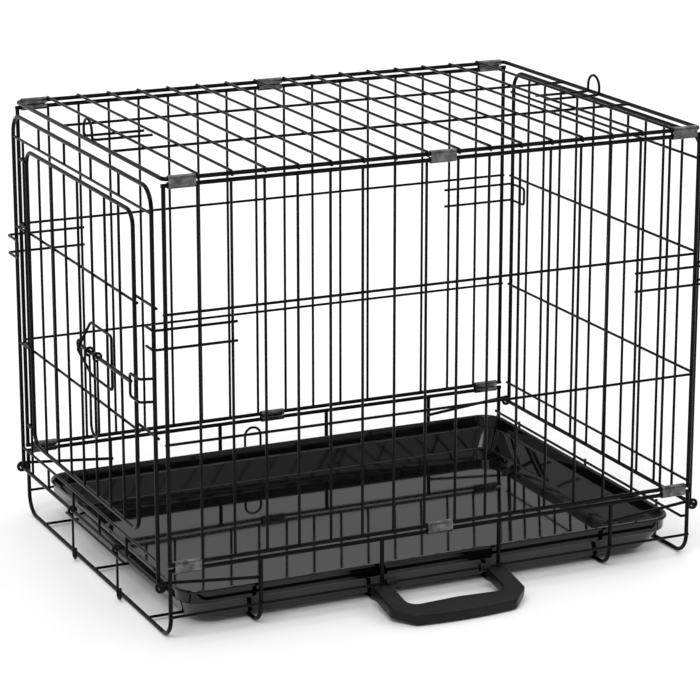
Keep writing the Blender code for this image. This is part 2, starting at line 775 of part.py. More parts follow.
sleeves()
finish(basket(), COATED)
front = long_panel("front_panel", 0.0, 1, HOOK_FRONT_TURN, False)
back = long_panel("back_panel", DEPTH, -1, HOOK_BACK_TURN, True)
finish(pivot(front, at(0, 0, PANEL_LOW_Z)), COATED)
finish(pivot(back, at(0, DEPTH, PANEL_LOW_Z)), COATED)
finish(pivot(top_panel(), at(0, 0, PANEL_TOP_Z)), COATED)
finish(pivot(left_end_panel(), at(-END_OFFSET, 0, PIVOT_Z)), COATED)
finish(pivot(right_end_panel(), at(WIDTH + END_OFFSET, 0, PIVOT_Z)), COATED)
finish(pivot(door(), at(-END_OFFSET, DOOR_HINGE_Y, 0)), COATED)
finish(latch_bracket(), COATED)
finish(latch_bolt(), COATED)
finish(pivot(latch_handle(), at(BOLT_X, 0, LATCH_Z)), COATED)
finish(pivot(tray_gate(), at(-END_OFFSET, 0, PIVOT_Z)), COATED)
finish(tray(), TRAY_PLASTIC)
handle = finish(pivot(carry_handle(), at(0, -FRAME_CROSS, SIDE_BAR_Z)), HANDLE_PLASTIC)
handle.rotation_euler.x = HANDLE_TILT
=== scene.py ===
import json
from math import asin, atan2, cos, hypot, pi, radians, sin

import bpy
from mathutils import Matrix, Quaternion, Vector


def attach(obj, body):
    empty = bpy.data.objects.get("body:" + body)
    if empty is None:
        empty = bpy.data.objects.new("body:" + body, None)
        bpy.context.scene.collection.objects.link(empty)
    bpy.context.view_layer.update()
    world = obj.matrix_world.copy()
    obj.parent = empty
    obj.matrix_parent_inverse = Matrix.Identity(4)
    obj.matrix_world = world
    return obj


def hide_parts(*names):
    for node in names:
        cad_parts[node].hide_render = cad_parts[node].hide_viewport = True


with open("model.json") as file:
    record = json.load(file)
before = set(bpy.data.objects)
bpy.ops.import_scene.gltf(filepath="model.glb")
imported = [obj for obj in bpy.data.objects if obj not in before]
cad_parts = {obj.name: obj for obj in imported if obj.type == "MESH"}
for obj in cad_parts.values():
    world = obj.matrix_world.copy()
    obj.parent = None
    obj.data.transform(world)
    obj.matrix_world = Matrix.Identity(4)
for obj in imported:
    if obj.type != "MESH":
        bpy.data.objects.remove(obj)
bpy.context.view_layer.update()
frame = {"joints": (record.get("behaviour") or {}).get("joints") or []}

joints = {joint["name"]: joint for joint in frame["joints"]}
xWay, yWay, zWay = Vector((1, 0, 0)), Vector((0, 1, 0)), Vector((0, 0, 1))

# Sizes that several pieces share, in metres. Places are measured from the left, front, floor corner.
crate = {
    "length": 0.610,
    "depth": 0.445,
    "topWireZ": 0.48075,
    "railStep": 0.0065,  # between the two rails inside each sheet metal clip
    "basketRailZ": 0.075,
    "lowBarZ": 0.208,
    "highBarZ": 0.343,
    "pitches": 17,
    "thick": 0.00225,  # wire radii
    "thin": 0.0015,
    "bite": 0.0004,  # how far welded wires sink into each other
    "slack": 0.0005,
}
foldLine = joints["front_fold"]["pos_m"]
cornerX = foldLine[0] - crate["length"] / 2
cornerY = foldLine[1]
thick, thin = crate["thick"], crate["thin"]
length, depth = crate["length"], crate["depth"]
pitch = length / crate["pitches"]
thinOnThin = 2 * thin - crate["bite"]
thinOnThick = thick + thin - 2 * crate["bite"]
panelTopZ = crate["topWireZ"] - crate["railStep"]
panelLowZ = crate["basketRailZ"] + crate["railStep"]


def spot(x, y, z):
    return Vector((cornerX + x, cornerY + y, z))


def nothingSelected():
    if bpy.context.mode != "OBJECT":
        bpy.ops.object.mode_set(mode="OBJECT")
    bpy.ops.object.select_all(action="DESELECT")


def arc(centre, first, second, radius, start=0.0, sweep=2 * pi, steps=16):
    turns = [start + sweep * step / steps for step in range(steps + 1)]
    return [centre + first * radius * cos(turn) + second * radius * sin(turn) for turn in turns]


def softBends(points, radius, steps=8, loop=False):
    # each corner of the route becomes an arc of this radius
    route = []
    for index, corner in enumerate(points):
        if not loop and index in (0, len(points) - 1):
            route.append(corner)
            continue
        back = (points[index - 1] - corner).normalized()
        ahead = (points[(index + 1) % len(points)] - corner).normalized()
        half = back.angle(ahead) / 2
        centre = corner + (back + ahead).normalized() * (radius / sin(half))
        first = corner + back * (radius * cos(half) / sin(half)) - centre
        last = corner + ahead * (radius * cos(half) / sin(half)) - centre
        axis, angle = first.rotation_difference(last).to_axis_angle()
        for step in range(steps + 1):
            route.append(centre + Quaternion(axis, angle * step / steps) @ first)
    return route


mottle = {"patchDetail": 3, "grainDetail": 4, "colourSpan": (0.35, 0.7), "glossSpan": (0.3, 0.7)}


def paint(name, look):
    # a Principled surface whose colour and gloss wander slowly, with a fine grain in its bump
    surface = bpy.data.materials.new(name)
    surface.use_nodes = True
    nodes, links = surface.node_tree.nodes, surface.node_tree.links
    shader = nodes["Principled BSDF"]
    shader.inputs["Metallic"].default_value = look["metallic"]
    shader.inputs["Specular IOR Level"].default_value = look["specular"]
    shader.inputs["Coat Weight"].default_value = look["coat"]
    shader.inputs["Coat Roughness"].default_value = look["coatRoughness"]
    place = nodes.new("ShaderNodeTexCoord")
    patches = nodes.new("ShaderNodeTexNoise")
    patches.inputs["Scale"].default_value = look["patchScale"]
    patches.inputs["Detail"].default_value = mottle["patchDetail"]
    grain = nodes.new("ShaderNodeTexNoise")
    grain.inputs["Scale"].default_value = look["grainScale"]
    grain.inputs["Detail"].default_value = mottle["grainDetail"]
    for texture in (patches, grain):
        links.new(place.outputs["Object"], texture.inputs["Vector"])
    colour = nodes.new("ShaderNodeValToRGB")
    colour.color_ramp.elements[0].position = mottle["colourSpan"][0]
    colour.color_ramp.elements[0].color = (*look["dark"], 1)
    colour.color_ramp.elements[1].position = mottle["colourSpan"][1]
    colour.color_ramp.elements[1].color = (*look["light"], 1)
    links.new(patches.outputs["Fac"], colour.inputs["Fac"])
    links.new(colour.outputs["Color"], shader.inputs["Base Color"])
    gloss = nodes.new("ShaderNodeMapRange")
    gloss.inputs["From Min"].default_value = mottle["glossSpan"][0]
    gloss.inputs["From Max"].default_value = mottle["glossSpan"][1]
    gloss.inputs["To Min"].default_value = look["roughness"][0]
    gloss.inputs["To Max"].default_value = look["roughness"][1]
    links.new(grain.outputs["Fac"], gloss.inputs["Value"])
    links.new(gloss.outputs["Result"], shader.inputs["Roughness"])
    bump = nodes.new("ShaderNodeBump")
    bump.inputs["Strength"].default_value = look["bump"]
    bump.inputs["Distance"].default_value = look["bumpDepth"]
    links.new(grain.outputs["Fac"], bump.inputs["Height"])
    links.new(bump.outputs["Normal"], shader.inputs["Normal"])
    return surface


finishes = {
    # the wire coating's colour wanders at random from near black to a dark purple-brown: partly the
    # coating's own uneven tone, partly a painted reflection tint of the surroundings
    "coated_wire": paint("satinBlackCoating", {
        "dark": (0.001, 0.0009, 0.0012), "light": (0.0035, 0.003, 0.0034), "metallic": 0.0, "specular": 0.09,
        "coat": 0.0, "coatRoughness": 0.2, "patchScale": 45, "grainScale": 1100,
        "roughness": (0.18, 0.30), "bump": 0.2, "bumpDepth": 0.0002}),
    "sheet_steel": paint("glossBlackSheet", {
        "dark": (0.045, 0.043, 0.044), "light": (0.16, 0.155, 0.155), "metallic": 0.9, "specular": 0.5,
        "coat": 0.3, "coatRoughness": 0.08, "patchScale": 120, "grainScale": 420,
        "roughness": (0.16, 0.30), "bump": 0.18, "bumpDepth": 0.0003}),
    "tray_plastic": paint("glossBlackPlastic", {
        "dark": (0.0015, 0.0014, 0.0017), "light": (0.0035, 0.0032, 0.0037),
        "metallic": 0.0, "specular": 0.32,
        "coat": 0.0, "coatRoughness": 0.12, "patchScale": 9, "grainScale": 650,
        "roughness": (0.03, 0.07), "bump": 0.01, "bumpDepth": 0.0001}),
    "handle_plastic": paint("grainedBlackPlastic", {
        "dark": (0.0025, 0.0025, 0.0027), "light": (0.005, 0.005, 0.0054), "metallic": 0.0, "specular": 0.18,
        "coat": 0.0, "coatRoughness": 0.3, "patchScale": 30, "grainScale": 1500,
        "roughness": (0.34, 0.5), "bump": 0.3, "bumpDepth": 0.0003}),
}


def finished(piece, name, body, slotName, nodes):
    piece.name = piece.data.name = name
    piece.data.materials.clear()
    piece.data.materials.append(finishes[slotName])
    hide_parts(*nodes)
    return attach(piece, body)


skin = {"mergeWithin": 0.000002, "smoothBelow": radians(40), "wireRounding": 4}


def merged(piece):
    # one clean skin: doubled points merged, faces outward, round sides smooth
    bpy.context.view_layer.objects.active = piece
    bpy.ops.object.mode_set(mode="EDIT")
    bpy.ops.mesh.select_all(action="SELECT")
    bpy.ops.mesh.remove_doubles(threshold=skin["mergeWithin"])
    bpy.ops.mesh.normals_make_consistent(inside=False)
    bpy.ops.object.mode_set(mode="OBJECT")
    bpy.ops.object.shade_smooth_by_angle(angle=skin["smoothBelow"])
    return piece


def bentWire(name, groups, body, node):
    # groups of (routes, wire radius, closed or not), joined as one piece
    nothingSelected()
    for routes, radius, loop in groups:
        line = bpy.data.curves.new(name, "CURVE")
        line.dimensions = "3D"
        line.bevel_depth = radius
        line.bevel_resolution = skin["wireRounding"]
        line.use_fill_caps = True
        for route in routes:
            spline = line.splines.new("POLY")
            spline.points.add(len(route) - 1)
            for point, place in zip(spline.points, route):
                point.co = (*place, 1)
            spline.use_cyclic_u = loop
        wire = bpy.data.objects.new(name, line)
        bpy.context.scene.collection.objects.link(wire)
        wire.select_set(True)
        bpy.context.view_layer.objects.active = wire
    bpy.ops.object.convert(target="MESH")
    bpy.ops.object.join()
    piece = merged(bpy.context.view_layer.objects.active)
    return finished(piece, name, body, "coated_wire", [node])


# Camera, floor and light
view = {
    "eye": (-0.986, -2.559, 1.077), "aim": (0.3042, 0.2225, 0.2155),
    "lens": 147.5, "sensor": 36, "farthest": 60,
}
eye, aim = spot(*view["eye"]), spot(*view["aim"])
nothingSelected()
bpy.ops.object.camera_add(location=eye, rotation=(aim - eye).to_track_quat("-Z", "Y").to_euler())
camera = bpy.context.object
camera.data.lens = view["lens"]
camera.data.sensor_width = view["sensor"]
camera.data.clip_end = view["farthest"]
bpy.context.scene.camera = camera

studio = {"floorSize": 60, "floorColour": (0.96, 0.96, 0.96), "floorRoughness": 0.6, "sky": 0.62}
bpy.context.scene.view_settings.view_transform = "Standard"
nothingSelected()
bpy.ops.mesh.primitive_plane_add(size=studio["floorSize"])
floor = bpy.context.object
floor.name = "floor"
floorPaint = bpy.data.materials.new("paleFloor")
floorPaint.use_nodes = True
floorShader = floorPaint.node_tree.nodes["Principled BSDF"]
floorShader.inputs["Base Color"].default_value = (*studio["floorColour"], 1)
floorShader.inputs["Roughness"].default_value = studio["floorRoughness"]
floor.data.materials.append(floorPaint)
sky = bpy.data.worlds.new("studioSky")
sky.use_nodes = True
sky.node_tree.nodes["Background"].inputs["Color"].default_value = (1, 1, 1, 1)
sky.node_tree.nodes["Background"].inputs["Strength"].default_value = studio["sky"]
bpy.context.scene.world = sky
lamps = {
    "keyLight": {"from": (-0.55, -0.6, 1.0), "strength": 1.6, "spread": 34},
    "fillLight": {"from": (0.7, 0.2, 1.0), "strength": 0.8, "spread": 60},
}
for name, lamp in lamps.items():
    turn = Vector(lamp["from"]).to_track_quat("Z", "Y").to_euler()
    bpy.ops.object.light_add(type="SUN", location=lamp["from"], rotation=turn)
    bpy.context.object.name = name
    bpy.context.object.data.energy = lamp["strength"]
    bpy.context.object.data.angle = radians(lamp["spread"])
print("camera, floor and light are set")


# Basket: bent floor wires, side rails, hinge arms with eyes, and the low wall at the plain end
basket = {
    "bends": (0.0, 0.100, 0.238, 0.376, 0.513, 0.610),
    "cornerRadius": 0.022,
    "floorWireZ": 0.0020787,
    "sideBarZ": 0.026,
    "floorBars": (0.060, 0.222, 0.385),
    "endWallZ": 0.046,
    "turnUp": 0.006,
    "eyeWire": 0.0018,
    "eyeSweep": radians(318),
    "armDrop": 0.010,
    "loopX": 0.280,
    "loopTop": 0.066,
    "loopHalf": 0.010,
}
ends = {"offset": 0.009, "inset": 0.010, "drop": 0.0105, "pivotZ": 0.058, "cornerRadius": 0.022,
        "pitches": 11, "topBand": 0.025, "lowBarZ": 0.083}
leftX, rightX = -ends["offset"], length + ends["offset"]
pivotZ = ends["pivotZ"]
endTopZ = crate["topWireZ"] - ends["drop"]
endFront, endBack = ends["inset"], depth - ends["inset"]


def hingeArm(endX, outward, y, inward):
    plane = y + inward * (thick + basket["eyeWire"] - 2 * crate["bite"])
    radius = thick + crate["slack"] + basket["eyeWire"]
    centre = spot(endX + outward * ends["offset"], plane, pivotZ)
    start = basket["bends"][1] if outward < 0 else basket["bends"][-2]
    tail = spot(start - outward * basket["eyeWire"], plane, pivotZ - basket["armDrop"] + radius)
    return [tail] + arc(centre, zWay, xWay * outward, radius, 0, basket["eyeSweep"], 24)


def makeBasket():
    low = basket["floorWireZ"]
    bends = []
    for x in basket["bends"]:
        route = [
            spot(x, 0, crate["basketRailZ"]), spot(x, 0, low),
            spot(x, depth, low), spot(x, depth, crate["basketRailZ"]),
        ]
        bends.append(softBends(route, basket["cornerRadius"], 12))
    rails = [
        [spot(-thick, y, crate["basketRailZ"]), spot(length + thick, y, crate["basketRailZ"])]
        for y in (0, depth)
    ]
    sideBars = [
        [spot(-thin / 2, y, basket["sideBarZ"]), spot(length + thin / 2, y, basket["sideBarZ"])]
        for y in (-thinOnThick, depth + thinOnThick)
    ]
    barZ, wallX = low + thinOnThick, length - thinOnThick
    wallZ, wallBarX, wallSides = basket["endWallZ"], wallX - thinOnThin, (thinOnThick, depth - thinOnThick)
    floorBars = []
    for y in basket["floorBars"]:
        route = [spot(-thin / 2, y, barZ), spot(wallX, y, barZ), spot(wallX, y, wallZ + thin)]
        floorBars.append(softBends(route, basket["turnUp"]))
    wallBar = [[spot(wallBarX, y, wallZ) for y in wallSides]]
    wallEnds = [[spot(wallBarX, y, wallZ), spot(wallX + thin, y, wallZ)] for y in wallSides]
    arms = [
        hingeArm(endX, outward, y, inward)
        for endX, outward in ((0, -1), (length, 1))
        for y, inward in ((0, 1), (depth, -1))
    ]
    loopY, half = depth + thinOnThick - thinOnThin, basket["loopHalf"]
    loopTop = spot(basket["loopX"], loopY, basket["loopTop"] - half)
    backLoop = [
        [spot(basket["loopX"] - half, loopY, basket["sideBarZ"] - 2 * thin)]
        + arc(loopTop, -xWay, zWay, half, 0, pi)
        + [spot(basket["loopX"] + half, loopY, basket["sideBarZ"] - 2 * thin)]
    ]
    groups = [
        (bends + rails, thick, False),
        (sideBars + floorBars + wallBar + wallEnds + backLoop, thin, False),
        (arms, basket["eyeWire"], False),
    ]
    bentWire("basketWires", groups, "base", "base_basket")


makeBasket()
print("basket is bent")


# Front and back panels, each with a pair of corner hooks at both ends
hooks = {
    "z": 0.320, "half": 0.010, "out": 0.0145, "bend": 0.00375,
    "frontTurn": 0.016, "backTurn": 0.030, "tail": 0.004,
}


def cornerHook(sideY, inward, endX, outward, turn, loop):
    y = sideY - inward * thinOnThick
    start = endX - outward * (2 * pitch + hooks["tail"])
    tip = endX + outward * hooks["out"]
    levels = (hooks["z"] + hooks["half"], hooks["z"] - hooks["half"])
    upper, lower = [
        [spot(start, y, z), spot(tip, y, z), spot(tip, sideY + inward * turn, z)] for z in levels
    ]
    if loop:
        return [softBends(upper + lower[::-1], hooks["bend"])]
    return [softBends(upper, hooks["bend"]), softBends(lower, hooks["bend"])]


def longPanel(name, body, node, y, inward, turn, loop):
    sides = [[spot(x, y, panelLowZ), spot(x, y, panelTopZ)] for x in (0, length)]
    rails = [[spot(-thick, y, z), spot(length + thick, y, z)] for z in (panelLowZ, panelTopZ)]
    uprights = [
        [spot(pitch * i, y, panelLowZ), spot(pitch * i, y, panelTopZ)]
        for i in range(1, crate["pitches"])
    ]
    bars = [
        [spot(-thin, y + inward * thinOnThin, z), spot(length + thin, y + inward * thinOnThin, z)]
        for z in (crate["lowBarZ"], crate["highBarZ"])
    ]
    corners = cornerHook(y, inward, 0, -1, turn, loop) + cornerHook(y, inward, length, 1, turn, loop)
    bentWire(name, [(sides + rails, thick, False), (uprights + bars + corners, thin, False)], body, node)


longPanel("frontPanelWires", "front_side", "front_panel", 0.0, 1, hooks["frontTurn"], False)
longPanel("backPanelWires", "back_side", "back_panel", depth, -1, hooks["backTurn"], True)
print("long panels are welded")


# Top panel: cross wires bent down over the side rails, and a standing hook at each end
roof = {
    "cornerRadius": 0.006,
    "bars": (0.1483, 0.2967),
    "lift": 0.0026,
    "lap": 0.0031,
    "lapDrop": 0.0022,
    "hookHalf": 0.0125,
    "hookLength": 0.070,
    "hookTop": 0.501,
    "hookBend": 0.004,
    "lapBend": 0.0024,
}


def topHook(endX, outward):
    z = crate["topWireZ"] + roof["lift"] - thinOnThin
    middle, half = depth / 2, roof["hookHalf"]
    standX = endX - outward * thinOnThick
    startX = endX - outward * roof["hookLength"]
    centre = spot(standX, middle, roof["hookTop"] - half)
    near, far = [
        softBends([spot(startX, y, z), spot(standX, y, z), spot(standX, y, centre.z)], roof["hookBend"])
        for y in (middle - half, middle + half)
    ]
    return near[:-1] + arc(centre, -yWay, zWay, half, 0, pi) + far[:-1][::-1]


def makeTop():
    z = crate["topWireZ"]
    corners = [spot(0, 0, z), spot(length, 0, z), spot(length, depth, z), spot(0, depth, z)]
    high, lap = z + roof["lift"], roof["lap"]
    across = []
    for i in range(1, crate["pitches"]):
        x = pitch * i
        route = [
            spot(x, -lap, z - roof["lapDrop"]), spot(x, -lap, high),
            spot(x, depth + lap, high), spot(x, depth + lap, z - roof["lapDrop"]),
        ]
        across.append(softBends(route, roof["lapBend"], 6))
    along = [
        [spot(-thin, y, high - thinOnThin), spot(length + thin, y, high - thinOnThin)]
        for y in roof["bars"]
    ]
    groups = [
        ([softBends(corners, roof["cornerRadius"], 8, True)], thick, True),
        (across + along + [topHook(0, -1), topHook(length, 1)], thin, False),
    ]
    bentWire("topPanelWires", groups, "top", "top_panel")


makeTop()
print("top panel is welded")


# End panels
def endOutline(x):
    corners = [
        spot(x, endFront, pivotZ), spot(x, endFront, endTopZ),
        spot(x, endBack, endTopZ), spot(x, endBack, pivotZ),
    ]
    rail = [spot(x, thick, pivotZ), spot(x, depth - thick, pivotZ)]
    return [softBends(corners, ends["cornerRadius"], 12), rail]


def makeRightEnd():
    step = (endBack - endFront) / ends["pitches"]
    uprights = [
        [spot(rightX, endFront + step * i, pivotZ), spot(rightX, endFront + step * i, endTopZ)]
        for i in range(1, ends["pitches"])
    ]
    barX = rightX - thinOnThin
    heights = (ends["lowBarZ"], crate["lowBarZ"], crate["highBarZ"], endTopZ - ends["topBand"])
    bars = [[spot(barX, endFront - thin, z), spot(barX, endBack + thin, z)] for z in heights]
    groups = [(endOutline(rightX), thick, False), (uprights + bars, thin, False)]
    bentWire("rightEndWires", groups, "right_end", "right_end_panel")


doorway = {"front": 0.060, "back": 0.3886, "hingeY": 0.4025, "bottom": 0.100, "topGap": 0.008,
           "cornerRadius": 0.016, "pitches": 8, "out": 0.001, "eyesZ": (0.118, 0.214, 0.350, 0.425),
           "eyeSweep": radians(290), "shortWires": (1, 3, 5, 7), "stubLift": 0.006, "stubReach": 0.0055}
latch = {"z": 0.265, "rod": 0.0022, "bracketY": (0.119, 0.187), "bracketHalf": 0.029, "kink": 0.013,
         "shoulder": 0.006, "tipY": 0.050, "tailY": 0.200, "tailLoop": 0.0045, "gripY": (0.148, 0.172),
         "gripDrop": 0.090, "keeperHalf": 0.012, "keeperReach": 0.040, "gap": 0.0003,
         "keeperShoulder": 0.004, "keeperBend": 0.0035, "bracketBend": 0.004, "tailLoopAt": 0.004,
         "curlSweep": radians(300)}
doorX = leftX - doorway["out"]
doorTopZ = endTopZ - ends["topBand"] - doorway["topGap"]
doorStep = (doorway["back"] - doorway["front"]) / doorway["pitches"]
bracketX = doorX - thick - latch["gap"] - thin
boltX = bracketX - thin - 2 * latch["gap"] - latch["rod"] - 2 * crate["slack"]


def makeLeftEnd():
    bandZ = endTopZ - ends["topBand"]
    wires = [[spot(leftX, endFront, z), spot(leftX, endBack, z)] for z in (ends["lowBarZ"], bandZ)]
    wires.append([spot(leftX, doorway["hingeY"], pivotZ), spot(leftX, doorway["hingeY"], bandZ)])
    for i in doorway["shortWires"]:
        y = doorway["front"] + doorStep * i
        wires.append([spot(leftX, y, bandZ), spot(leftX, y, endTopZ)])
        wires.append([spot(leftX, y, pivotZ), spot(leftX, y, ends["lowBarZ"])])
    stubX, stubEndY = leftX + thinOnThick, doorway["front"] + doorway["stubReach"]
    for z in (crate["lowBarZ"], crate["highBarZ"]):
        stubZ = z + doorway["stubLift"]
        wires.append([spot(stubX, endFront - thin, stubZ), spot(stubX, stubEndY, stubZ)])
        wires.append([spot(leftX, doorway["hingeY"], z), spot(leftX, endBack, z)])
    keeperX = boltX - latch["rod"] - crate["slack"] - latch["gap"] - thin
    top, low = latch["z"] + latch["keeperHalf"], latch["z"] - latch["keeperHalf"]
    shoulderY = endFront + latch["keeperShoulder"]
    keeper = [
        spot(leftX, endFront, top), spot(keeperX, shoulderY, top), spot(keeperX, latch["keeperReach"], top),
        spot(keeperX, latch["keeperReach"], low), spot(keeperX, shoulderY, low), spot(leftX, endFront, low),
    ]
    wires.append(softBends(keeper, latch["keeperBend"]))
    groups = [(endOutline(leftX), thick, False), (wires, thin, False)]
    bentWire("leftEndWires", groups, "left_end", "left_end_panel")


makeRightEnd()
makeLeftEnd()
print("end panels are welded")


# Door, with its latch
def makeDoor():
    front, back, low = doorway["front"], doorway["back"], doorway["bottom"]
    corners = [
        spot(doorX, front, low), spot(doorX, back, low),
        spot(doorX, back, doorTopZ), spot(doorX, front, doorTopZ),
    ]
    wires = [
        [spot(doorX, front + doorStep * i, low), spot(doorX, front + doorStep * i, doorTopZ)]
        for i in range(1, doorway["pitches"])
    ]
    wires += [
        [spot(doorX + thinOnThin, front - thin, z), spot(doorX + thinOnThin, back, z)]
        for z in (crate["lowBarZ"], crate["highBarZ"])
    ]
    radius = 2 * thin + crate["slack"]
    for z in doorway["eyesZ"]:
        centre = spot(leftX, doorway["hingeY"], z)
        eye = arc(centre, -xWay, yWay, radius, 0, doorway["eyeSweep"], 20)
        wires.append([spot(leftX - radius, back, z)] + eye)
    outline = softBends(corners, doorway["cornerRadius"], 10, True)
    bentWire("doorWires", [([outline], thick, True), (wires, thin, False)], "door", "door")


def makeLatch():
    front, back = latch["bracketY"]
    low, high = latch["z"] - latch["bracketHalf"], latch["z"] + latch["bracketHalf"]
    bracket = [
        spot(bracketX, front, low), spot(bracketX, front, high),
        spot(bracketX, back - latch["shoulder"], high),
        spot(bracketX - latch["kink"], back, latch["z"]),
        spot(bracketX, back - latch["shoulder"], low),
    ]
    outline = softBends(bracket, latch["bracketBend"], 8, True)
    bentWire("latchBracketWire", [([outline], thin, True)], "door", "latch_bracket")
    rod = [spot(boltX, latch["tipY"], latch["z"]), spot(boltX, latch["tailY"], latch["z"])]
    centre = spot(boltX, latch["tailY"] + latch["tailLoopAt"], latch["z"])
    tail = arc(centre, yWay, zWay, latch["tailLoop"], steps=24)[:-1]
    bentWire("latchBoltRod", [([rod], latch["rod"], False), ([tail], thin, True)], "bolt", "latch_bolt")
    near, far = latch["gripY"]
    half, radius = (far - near) / 2, latch["rod"] + crate["slack"] + thin
    curl = latch["curlSweep"]
    bottom = arc(spot(boltX, near + half, latch["z"] - latch["gripDrop"] + half), -yWay, -zWay, half, 0, pi)
    first = arc(spot(boltX, near, latch["z"]), -zWay, xWay, radius, -curl, curl, 20)
    last = arc(spot(boltX, far, latch["z"]), -zWay, xWay, radius, 0, -curl, 20)
    bentWire("latchGripWire", [([first + bottom + last], thin, False)], "grip", "latch_handle")


makeDoor()
makeLatch()
print("door and latch are bent")


# Tray gate: two hanging wires and the bar that joins them
gate = {
    "y": (0.131, 0.270), "barDrop": 0.0085, "footZ": 0.004, "curl": 0.008, "barOver": 0.02,
    "eyeSweep": radians(310), "tipRise": 1.6,  # in curl widths
}


def makeGate():
    radius, curl, sweep = thick + crate["slack"] + thin, gate["curl"], gate["eyeSweep"]
    wires = []
    for y in gate["y"]:
        eyeTurn = arc(spot(leftX, y, pivotZ), -zWay, xWay, radius, -sweep, sweep, 20)
        foot = arc(spot(leftX, y - curl / 2, gate["footZ"] + curl / 2), yWay, -zWay, curl / 2, 0, pi, 10)
        wires.append(eyeTurn + foot + [spot(leftX, y - curl, gate["footZ"] + gate["tipRise"] * curl)])
    barZ = pivotZ - gate["barDrop"]
    barStart, barEnd = gate["y"][0] - gate["barOver"], gate["y"][1] + gate["barOver"]
    wires.append([spot(leftX, barStart, barZ), spot(leftX, barEnd, barZ)])
    bentWire("trayGateWires", [(wires, thin, False)], "gate", "tray_gate")


makeGate()
print("tray gate is bent")


# Sheet metal clips, rolled round two rails with an open seam on the inner side
clip = {"length": 0.029, "wall": 0.0008, "seam": 0.0009, "inset": 0.0191, "edge": 0.00022}
sharpAbove = radians(50)


def edgeTrimmed(piece, wall, width, offset=0.0):
    # gives an open sheet its wall, with small rounded edges
    for kind, name in (("SOLIDIFY", "wall"), ("BEVEL", "edges")):
        piece.modifiers.new(name, kind)
    piece.modifiers["wall"].thickness = wall
    piece.modifiers["wall"].offset = offset
    piece.modifiers["wall"].use_even_offset = True
    piece.modifiers["edges"].width = width
    piece.modifiers["edges"].segments = 2
    piece.modifiers["edges"].limit_method = "ANGLE"
    piece.modifiers["edges"].angle_limit = sharpAbove
    for name in ("wall", "edges"):
        bpy.ops.object.modifier_apply(modifier=name)
    return merged(piece)


def rolledClip(name, body, node, x, y, lowZ, inward):
    nothingSelected()
    radius = thick + crate["slack"] + clip["wall"] / 2
    startX, middleZ = x - clip["length"] / 2, lowZ + crate["railStep"] / 2
    inner = yWay * inward
    section = [spot(startX, y + inward * radius, middleZ + clip["seam"] / 2)]
    section += arc(spot(startX, y, lowZ + crate["railStep"]), inner, zWay, radius, 0, pi, 14)
    section += arc(spot(startX, y, lowZ), inner, zWay, radius, pi, pi, 14)
    section += [spot(startX, y + inward * radius, middleZ - clip["seam"] / 2)]
    line = bpy.data.curves.new(name, "CURVE")
    line.dimensions = "3D"
    spline = line.splines.new("POLY")
    spline.points.add(len(section) - 1)
    for point, place in zip(spline.points, section):
        point.co = (*place, 1)
    piece = bpy.data.objects.new(name, line)
    bpy.context.scene.collection.objects.link(piece)
    piece.select_set(True)
    bpy.context.view_layer.objects.active = piece
    bpy.ops.object.convert(target="MESH")
    bpy.ops.object.mode_set(mode="EDIT")
    bpy.ops.mesh.select_all(action="SELECT")
    bpy.ops.mesh.extrude_region_move(TRANSFORM_OT_translate={"value": (clip["length"], 0, 0)})
    bpy.ops.object.mode_set(mode="OBJECT")
    return finished(edgeTrimmed(piece, clip["wall"], clip["edge"]), name, body, "sheet_steel", [node])


clipX = {"left": clip["inset"], "middle": length / 2, "right": length - clip["inset"]}
for side, y, inward in (("front", 0.0, 1), ("back", depth, -1)):
    for level, body, lowZ in (("bottom", "base", crate["basketRailZ"]), ("top", "top", panelTopZ)):
        for place, x in clipX.items():
            name = f"{side}{level.title()}{place.title()}Clip"
            rolledClip(name, body, f"{side}_{level}_{place}_sleeve", x, y, lowZ, inward)
print("clips are rolled")


# Tray: a floor with round corners, walls that flare, a ledge and a lip turned down
tray = {
    "left": 0.018, "rightGap": 0.012, "side": 0.008, "wall": 0.0018,
    "floorInset": 0.020, "cornerRadius": 0.024, "floorZ": 0.0078, "edge": 0.0004,
    # how far out from the floor's edge, and how high, the wall goes at each turn
    "profile": (
        (0.0008, 0.00785), (0.0020, 0.0082), (0.0030, 0.0090), (0.0040, 0.0104), (0.0157, 0.0292),
        (0.0164, 0.0301), (0.0174, 0.0307), (0.0182, 0.0311), (0.0185, 0.0320), (0.0187, 0.0436),
        (0.0190, 0.0445), (0.0197, 0.0450), (0.0205, 0.0448), (0.0209, 0.0440), (0.0210, 0.0428),
    ),
}


